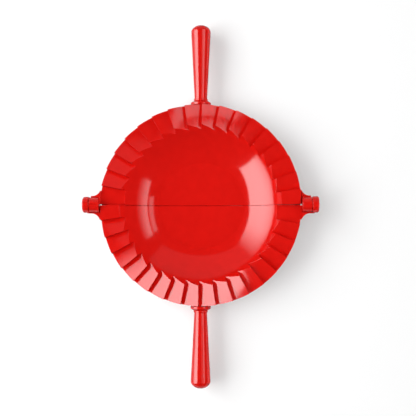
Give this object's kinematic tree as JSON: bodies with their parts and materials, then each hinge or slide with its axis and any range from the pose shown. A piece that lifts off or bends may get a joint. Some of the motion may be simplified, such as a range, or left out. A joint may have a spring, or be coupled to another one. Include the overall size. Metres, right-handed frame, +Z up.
{
  "type": "dough press",
  "caption": "Hinged dough press: two half bowls with pleated rims fold shut about their seam by two tapered handles.",
  "frame": {"origin": "centre of the bounding box in X and Y, on the plane that the open press rests on", "axes": "+X along the hinge, +Y towards the back handle, +Z up"},
  "size_m": [0.1818, 0.2818, 0.0262],
  "materials": {
    "red_plastic": "high gloss, one colour throughout"
  },
  "bodies": {
    "front": {"front_half": "red_plastic", "front_handle": "red_plastic", "front_handle_plug": "red_plastic", "left_hinge_pin": "red_plastic", "right_hinge_pin": "red_plastic"},
    "back": {"back_half": "red_plastic", "back_handle": "red_plastic", "back_handle_plug": "red_plastic"}
  },
  "joints": [
    {"name": "fold", "type": "hinge", "parent": "front", "child": "back", "pos_m": [0, 0, 0.02], "axis": [1, 0, 0], "range_deg": [0, 180]}
  ]
}
